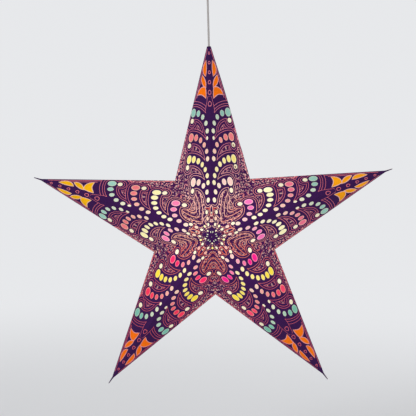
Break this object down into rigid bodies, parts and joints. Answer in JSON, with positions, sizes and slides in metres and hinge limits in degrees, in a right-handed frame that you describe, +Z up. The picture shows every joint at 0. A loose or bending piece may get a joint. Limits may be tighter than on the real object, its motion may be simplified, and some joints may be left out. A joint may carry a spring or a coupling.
{
  "type": "paper star lantern",
  "caption": "Hollow five-pointed star folded from printed paper, hung by its cable from a ceiling cup, with a lampholder and a bulb inside.",
  "frame": {"origin": "middle of the ceiling plate's upper face, which lies flat on the ceiling; the star hangs below it", "axes": "+Z up along the taut cable, +X towards the star's right tip as seen from the front, and the front peak points along -Y"},
  "size_m": [0.6004, 0.19, 0.711],
  "materials": {
    "printed_paper": "matt",
    "tie_string": "matt",
    "cable_jacket": "satin",
    "white_plastic": "satin",
    "insert_plastic": "matt",
    "contact_brass": "satin",
    "frosted_bulb": "frosted",
    "ink_orange": "matt",
    "ink_mint": "matt",
    "ink_coral": "matt",
    "ink_yellow": "matt",
    "ink_pink": "matt",
    "ink_cream": "matt"
  },
  "bodies": {
    "root": {"arm_top": "printed_paper", "arm_upper_right": "printed_paper", "arm_lower_right": "printed_paper", "arm_lower_left": "printed_paper", "arm_upper_left": "printed_paper", "tie_upper": "tie_string", "tie_lower": "tie_string", "cable_stop": "white_plastic", "cable": "cable_jacket", "lampholder_cap": "white_plastic", "lampholder_skirt": "white_plastic", "lampholder_insert": "insert_plastic", "contact_shell": "contact_brass", "bulb": "frosted_bulb", "ceiling_plate": "white_plastic", "ceiling_cup": "white_plastic", "terminal_block": "insert_plastic", "cord_grip": "white_plastic", "cord_grip_nut": "white_plastic", "print_leaves": "ink_orange", "print_mint": "ink_mint", "print_coral": "ink_coral", "print_yellow": "ink_yellow", "print_pink": "ink_pink", "print_cream": "ink_cream"}
  },
  "joints": []
}
